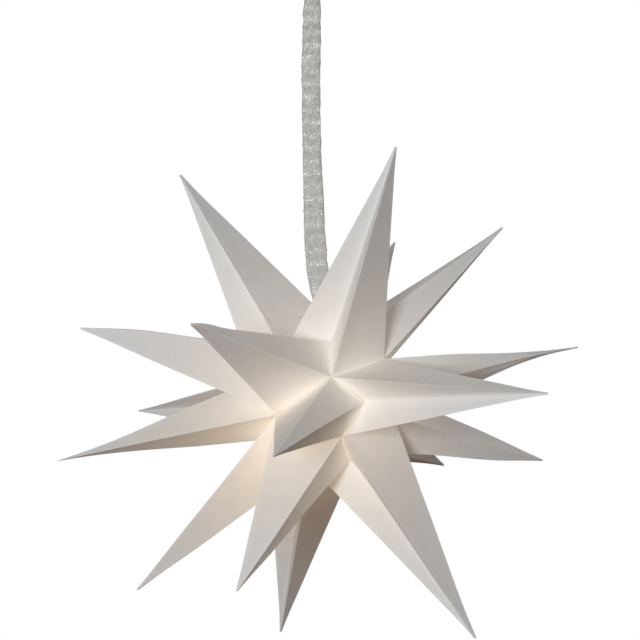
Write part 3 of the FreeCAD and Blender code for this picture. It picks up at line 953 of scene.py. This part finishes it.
    def face_points(self, corners: Triangle, bow: float, insets: Sequence[float]) -> Iterator[tuple[Vector, float, int]]:
        """The points of a face in rings from its edges inward, as (place, inset, edge number)."""
        a, b, c = corners
        sides = [(b - a).length, (c - b).length, (a - c).length]
        total = sum(sides)
        incentre = (c * sides[0] + a * sides[1] + b * sides[2]) / total
        normal = (b - a).cross(c - a)
        inradius = normal.length / total
        normal.normalize()
        if normal.dot(a) < 0:
            normal.negate()
        for inset in [value * MM for value in insets if value * MM < 0.85 * inradius]:
            scale = 1 - inset / inradius
            lift = normal * (bow * (1 - scale * scale))
            for number, (start, end) in enumerate(((a, b), (b, c), (c, a))):
                for step in range(self.segments):
                    edge_point = start.lerp(end, self.spacing(step))
                    yield incentre.lerp(edge_point, scale) + lift, inset, number
        yield incentre + normal * bow, inradius, -1

    def face_bow(self, leaf: int, number: int) -> float:
        """How far a face bows out of flat at its middle."""
        return self.bow + 0.3 * MM * noise.noise(Vector((leaf * 3.7 + 0.5, number * 5.3 + 0.5, 1.5)))

    def outer_sheet(self, leaf: int) -> Sheet:
        """The outside of a leaf."""
        sheet = Sheet()
        for number, face in enumerate(self.leaf_faces(leaf)):
            corners = tuple(self.place(key) for key in face)
            edges = [frozenset((face[0], face[1])), frozenset((face[1], face[2])), frozenset((face[2], face[0]))]
            start = len(sheet.points)
            for place, inset, edge_number in self.face_points(corners, self.face_bow(leaf, number), self.insets):
                sunk = place + self.sag(face, corners, place)
                marks = dict.fromkeys(sheet.marks, 0.0)
                if edge_number >= 0:
                    sunk += self.rounding(edges[edge_number], place, inset)
                    marks.update(self.marks(edges[edge_number], inset))
                for name, value in marks.items():
                    sheet.marks[name].append(value)
                sheet.points.append(sunk)
            sheet.faces += self.ring_faces(start, len(sheet.points) - start)
        return sheet

    def marks(self, edge: frozenset[CornerKey], inset: float) -> dict[str, float]:
        """How a crease marks the paper beside it: whitening with a painted highlight on ridges, painted shade in the
        inward folds and painted light leaking through the notch folds.

        Args:
            edge: The crease's two corners.
            inset: How far the place lies from the crease.

        Returns:
            The strength of each mark there.
        """
        kinds = {key[0] for key in edge}
        if Corner.VALLEY not in kinds or self.fold_radius(edge) == self.sharp_fold:
            # Ridges: whitened card with a painted highlight, a faint wide band and a thin bright line.
            return {"ridge": 0.5 * max(0.0, 1 - inset / self.whitening_and_highlight_reach) + 0.5 * max(0.0, 1 - inset / self.sharp_fold)}
        # Inward folds: painted shade, and at the notches painted light leaking through the fold.
        near = max(0.0, 1 - inset / self.joint)
        if Corner.POLE in kinds:
            return {"joint": near}
        notch = next((key for key in edge if key[0] is Corner.NOTCH), None)
        if notch is None:
            return {"joint": 0.6 * near}
        strength, reach = self.notch_leaks.get(notch[1:], self.leak)
        return {"joint": 0.6 * near, "leak": strength * max(0.0, 1 - inset / (reach * MM))}

    def ring_faces(self, start: int, count: int) -> list[list[int]]:
        """The faces between a panel's rings, and the fan round its middle point."""
        loop = 3 * self.segments
        rings = (count - 1) // loop
        faces = []
        for ring in range(rings - 1):
            for index in range(loop):
                after = (index + 1) % loop
                low, high = start + ring * loop, start + (ring + 1) * loop
                faces.append([low + index, low + after, high + after, high + index])
        last = start + (rings - 1) * loop
        faces += [[last + index, last + (index + 1) % loop, start + count - 1] for index in range(loop)]
        return faces

    def inner_sheet(self, leaf: int) -> Sheet:
        """The inside of a leaf, which has no marks."""
        sheet = Sheet()
        for number, face in enumerate(self.leaf_faces(leaf)):
            corners = tuple(self.inner_place(key, leaf) for key in face)
            start = len(sheet.points)
            for place, _, _ in self.face_points(corners, self.face_bow(leaf, number), (0.0, 5.0, 14.0)):
                sheet.points.append(place + self.sag(face, corners, place))
            sheet.faces += self.ring_faces(start, len(sheet.points) - start)
        return sheet

    def rim_edges(self, leaf: int) -> list[tuple[int, int]]:
        """The leaf's outline, as (face number, edge number) pairs."""
        seen: dict[frozenset[CornerKey], list[tuple[int, int]]] = {}
        for number, face in enumerate(self.leaf_faces(leaf)):
            for edge, pair in enumerate(((face[0], face[1]), (face[1], face[2]), (face[2], face[0]))):
                seen.setdefault(frozenset(pair), []).append((number, edge))
        return [places[0] for places in seen.values() if len(places) == 1]

    def leaf_mesh(self, leaf: int) -> bpy.types.Object:
        """Makes one leaf as a thin closed shell, in the star's own frame."""
        outer, inner = self.outer_sheet(leaf), self.inner_sheet(leaf)
        shift = len(outer.points)
        faces = outer.faces + [[shift + index for index in face] for face in inner.faces]
        loop = 3 * self.segments
        outer_starts, inner_starts = self.panel_starts(outer.faces), self.panel_starts(inner.faces)
        for number, edge in self.rim_edges(leaf):
            for step in range(self.segments):
                first = edge * self.segments + step
                second = (first + 1) % loop
                near, far = outer_starts[number], shift + inner_starts[number]
                faces.append([near + first, near + second, far + second, far + first])
        name = f"card_leaf_{leaf + 1:02d}"
        thing = add_mesh(name, [self.settle(point) for point in outer.points + inner.points], faces)
        mesh = thing.data
        for mark, values in outer.marks.items():
            attribute = mesh.attributes.new(mark, "FLOAT", "POINT")
            attribute.data.foreach_set("value", values + [0.0] * len(inner.points))
        work = bmesh.new()
        work.from_mesh(mesh)
        bmesh.ops.remove_doubles(work, verts=work.verts, dist=0.004 * MM)
        bmesh.ops.recalc_face_normals(work, faces=work.faces)
        open_edges = sum(not edge.is_manifold for edge in work.edges)
        work.to_mesh(mesh)
        work.free()
        mesh.transform(self.hang)
        if open_edges:
            logger.warning("%s has %d open edges", name, open_edges)
        return thing

    def panel_starts(self, faces: list[list[int]]) -> list[int]:
        """The first point of each of a sheet's seven panels."""
        starts, top = [0], 0
        for face in faces:
            if len(face) == 3:
                if face[2] + 1 > top:
                    top = face[2] + 1
                    starts.append(top)
        return starts[:-1]

    def cut_seam_hole(self, leaves: Sequence[bpy.types.Object]) -> None:
        """Cuts the round hole for the lamp's neck through the seam of the first and last leaf."""
        offset = -self.valley[0] * math.tan(self.dip)
        hole = self.hang @ Vector((self.valley[0], 0, offset))
        work = bmesh.new()
        bmesh.ops.create_cone(
            work,
            cap_ends=True,
            segments=48,
            radius1=self.seam_hole / 2,
            radius2=self.seam_hole / 2,
            depth=0.06,
            matrix=Matrix.Translation(hole),
        )
        mesh = bpy.data.meshes.new("seam_hole_cutter")
        work.to_mesh(mesh)
        work.free()
        cutter = bpy.data.objects.new("seam_hole_cutter", mesh)
        bpy.context.scene.collection.objects.link(cutter)
        for leaf in leaves:
            cut = leaf.modifiers.new("seam hole", "BOOLEAN")
            cut.operation = "DIFFERENCE"
            cut.solver = "EXACT"
            cut.object = cutter
            state = leaf.evaluated_get(bpy.context.evaluated_depsgraph_get())
            done = bpy.data.meshes.new_from_object(state)
            leaf.modifiers.clear()
            leaf.data = done
        bpy.data.objects.remove(cutter)

    def build(self) -> list[bpy.types.Object]:
        """Makes and dresses the twelve leaves."""
        leaves = [self.leaf_mesh(leaf) for leaf in range(2 * len(self.rows))]
        self.cut_seam_hole([leaves[0], leaves[-1]])
        for number, leaf in enumerate(leaves, start=1):
            for face in leaf.data.polygons:
                face.use_smooth = True
            leaf.data.set_sharp_from_angle(angle=math.radians(62))
            PAPER.dress(leaf)
            keep_as_piece(leaf, "star_paper", f"paper_leaf_{number:02d}")
        return leaves


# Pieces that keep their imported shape.


@dataclass
class KeptPieces:
    """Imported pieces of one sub-assembly that only need a finish."""

    nodes: dict[str, bpy.types.Object]
    finishes: dict[str, Finish]

    def build(self) -> list[bpy.types.Object]:
        """Dresses the pieces."""
        made = []
        for name, finish in self.finishes.items():
            thing = self.nodes[name]
            finish.dress(thing)
            made.append(thing)
            logger.info("%s keeps its shape, finished as %s", name, finish.name)
        return made


SEAM_FINISHES: dict[str, Finish] = {"seam_strap": STRAP, "staples": STEEL}
LAMP_FINISHES: dict[str, Finish] = {
    "holder_cap": HOLDER_PLASTIC,
    "holder_body": HOLDER_PLASTIC,
    "contact_insert": CERAMIC,
    "thread_shell": BRASS,
    "centre_contact": BRASS,
    "bulb": OPAL_GLASS,
}
CEILING_FINISHES: dict[str, Finish] = {
    "ceiling_plate": FITTING_PLASTIC,
    "terminal_block": FITTING_PLASTIC,
    "cord_clamp": FITTING_PLASTIC,
    "clamp_screws": STEEL,
    "ceiling_cup": FITTING_PLASTIC,
    "cup_nipple": FITTING_PLASTIC,
    "nipple_nut": FITTING_PLASTIC,
    "grip_screw": STEEL,
}


# The studio.


@dataclass(frozen=True)
class SoftBox:
    """A square lamp, placed by its angle round the star from the camera and above the level."""

    name: str
    sideways: float
    above: float
    distance: float
    size: float
    power: float
    colour: Colour = (1.0, 1.0, 1.0)


@dataclass
class Studio:
    """Camera, lamps, world and floor."""

    azimuth: float = math.radians(43.27)
    aim: tuple[float, float, float] = (0.0071, 0.0043, -0.4172)
    distance: float = 2.365
    lens: float = 125.0
    star: tuple[float, float, float] = (0.0105, 0.0075, -0.5)
    floor_gap: float = 0.36
    floor_radius: float = 2.3
    floor_colour: Colour = (0.84, 0.84, 0.835)
    floor_bounce: Colour = (0.18, 0.092, 0.05)
    world_level: float = 0.25
    world_colour: Colour = (1.0, 0.912, 0.866)
    lamps: tuple[SoftBox, ...] = (
        SoftBox("key_light", -13.0, 3.0, 2.4, 0.5, 30.6, (0.923, 0.962, 1.0)),
        SoftBox("broad_light", -13.0, 15.0, 2.4, 1.4, 1.2),
        SoftBox("left_light", -95.0, 10.0, 2.4, 1.0, 2.0),
        SoftBox("rear_light", 160.0, 26.0, 2.6, 0.8, 20.0),
    )

    def toward(self, sideways: float = 0.0, above: float = 0.0) -> Vector:
        """The direction from the star to a place round it, in degrees from the camera."""
        angle = self.azimuth + math.radians(sideways)
        rise = math.radians(above)
        return Vector((math.sin(angle) * math.cos(rise), -math.cos(angle) * math.cos(rise), math.sin(rise)))

    def camera(self) -> bpy.types.Object:
        """Makes the level camera."""
        data = bpy.data.cameras.new("camera")
        data.lens = self.lens
        data.sensor_width = 36.0
        data.clip_end = 20.0
        camera = bpy.data.objects.new("camera", data)
        bpy.context.scene.collection.objects.link(camera)
        back = self.toward()
        camera.location = Vector(self.aim) + back * self.distance
        camera.rotation_mode = "QUATERNION"
        camera.rotation_quaternion = (-back).to_track_quat("-Z", "Y")
        bpy.context.scene.camera = camera
        return camera

    def soft_boxes(self) -> None:
        """Hangs the lamps round the star, each facing it."""
        for lamp in self.lamps:
            data = bpy.data.lights.new(lamp.name, "AREA")
            data.size = lamp.size
            data.energy = lamp.power
            data.color = lamp.colour
            light = bpy.data.objects.new(lamp.name, data)
            light.visible_camera = False
            bpy.context.scene.collection.objects.link(light)
            back = self.toward(lamp.sideways, lamp.above)
            light.location = Vector(self.star) + back * lamp.distance
            light.rotation_mode = "QUATERNION"
            light.rotation_quaternion = (-back).to_track_quat("-Z", "Y")

    def world(self) -> None:
        """Gives a soft even world that the camera, mirrors and glass see as white."""
        world = bpy.data.worlds.new("soft_room")
        bpy.context.scene.world = world
        world.use_nodes = True
        tree = world.node_tree
        room = tree.nodes["Background"]
        room.inputs["Color"].default_value = (*self.world_colour, 1.0)
        room.inputs["Strength"].default_value = self.world_level
        white = tree.nodes.new("ShaderNodeBackground")
        white.inputs["Color"].default_value = (1.0, 1.0, 1.0, 1.0)
        seen = self.seen_directly(tree)
        mix = tree.nodes.new("ShaderNodeMixShader")
        tree.links.new(seen, mix.inputs[0])
        tree.links.new(room.outputs[0], mix.inputs[1])
        tree.links.new(white.outputs[0], mix.inputs[2])
        tree.links.new(mix.outputs[0], tree.nodes["World Output"].inputs["Surface"])

    def seen_directly(self, tree: bpy.types.NodeTree) -> Socket:
        """One for rays from the camera, a mirror or glass, else zero."""
        path = tree.nodes.new("ShaderNodeLightPath")
        total = path.outputs["Is Camera Ray"]
        for name in ("Is Glossy Ray", "Is Transmission Ray"):
            node = tree.nodes.new("ShaderNodeMath")
            node.operation = "MAXIMUM"
            tree.links.new(total, node.inputs[0])
            tree.links.new(path.outputs[name], node.inputs[1])
            total = node.outputs[0]
        return total

    def floor(self, lowest: float) -> bpy.types.Object:
        """Lays the pale floor, which fades to white at its edge.

        Args:
            lowest: The height of the star's lowest tip.

        Returns:
            The floor.
        """
        rings, around = 12, 64
        level = lowest - self.floor_gap
        vertices = [Vector((self.star[0], self.star[1], level))]
        for ring in range(1, rings + 1):
            for index in range(around):
                angle = 2 * math.pi * index / around
                radius = self.floor_radius * ring / rings
                vertices.append(Vector((self.star[0] + radius * math.cos(angle), self.star[1] + radius * math.sin(angle), level)))
        faces = [[0, 1 + index, 1 + (index + 1) % around] for index in range(around)]
        for ring in range(rings - 1):
            low, high = 1 + ring * around, 1 + (ring + 1) * around
            for index in range(around):
                after = (index + 1) % around
                faces.append([low + index, high + index, high + after, low + after])
        floor = add_mesh("floor", vertices, faces)
        graph = Graph("pale_floor")
        seen = self.seen_directly(graph.tree)
        mottle = graph.grain(graph.position, 3.0, 2.0)
        graph.set(
            Base_Color=graph.mix(seen, self.floor_bounce, self.floor_colour),
            Roughness=graph.remap(mottle, 0.3, 0.7, 0.85, 0.95),
            Specular_IOR_Level=0.1,
        )
        away = graph.vector("DISTANCE", graph.position, (self.star[0], self.star[1], level)).outputs["Value"]
        edge = graph.remap(away, 0.2 * self.floor_radius, 0.95 * self.floor_radius, 0.5, 1.0)
        white = graph.add("ShaderNodeEmission")
        white.inputs["Strength"].default_value = 1.0
        fade = graph.add("ShaderNodeMixShader")
        graph.join(graph.maths("MULTIPLY", edge, seen), fade.inputs[0])
        graph.join(graph.shader.outputs[0], fade.inputs[1])
        graph.join(white.outputs[0], fade.inputs[2])
        clear = graph.add("ShaderNodeBsdfTransparent")
        below = graph.add("ShaderNodeMixShader")
        graph.join(graph.position.node.outputs["Backfacing"], below.inputs[0])
        graph.join(fade.outputs[0], below.inputs[1])
        graph.join(clear.outputs[0], below.inputs[2])
        graph.join(below.outputs[0], graph.tree.nodes["Material Output"].inputs["Surface"])
        floor.data.materials.append(graph.material)
        floor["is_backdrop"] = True
        return floor


def corners(box: tuple[Vector, Vector]) -> list[list[float]]:
    """A box's two corners as plain numbers."""
    return [list(corner) for corner in box]


def main() -> None:
    """Builds the lantern's looks and the studio round it."""
    logging.basicConfig(level=logging.INFO, format="%(name)s: %(message)s")
    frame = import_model()
    cad_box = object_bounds()
    nodes = frame["nodes"]
    bpy.context.scene.view_settings.view_transform = "Standard"
    studio = Studio()
    studio.camera()
    cable = LampCable()
    cable.build([nodes[name] for name in CEILING_FINISHES])
    CableSleeve().build(cable)
    PaperStar().build()
    for finishes in (SEAM_FINISHES, LAMP_FINISHES, CEILING_FINISHES):
        KeptPieces(nodes, finishes).build()
    studio.soft_boxes()
    studio.world()
    studio.floor(cad_box[0].z)
    {"cad": corners(cad_box), "visual": corners(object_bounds())}


if __name__ == "__main__":
    main()
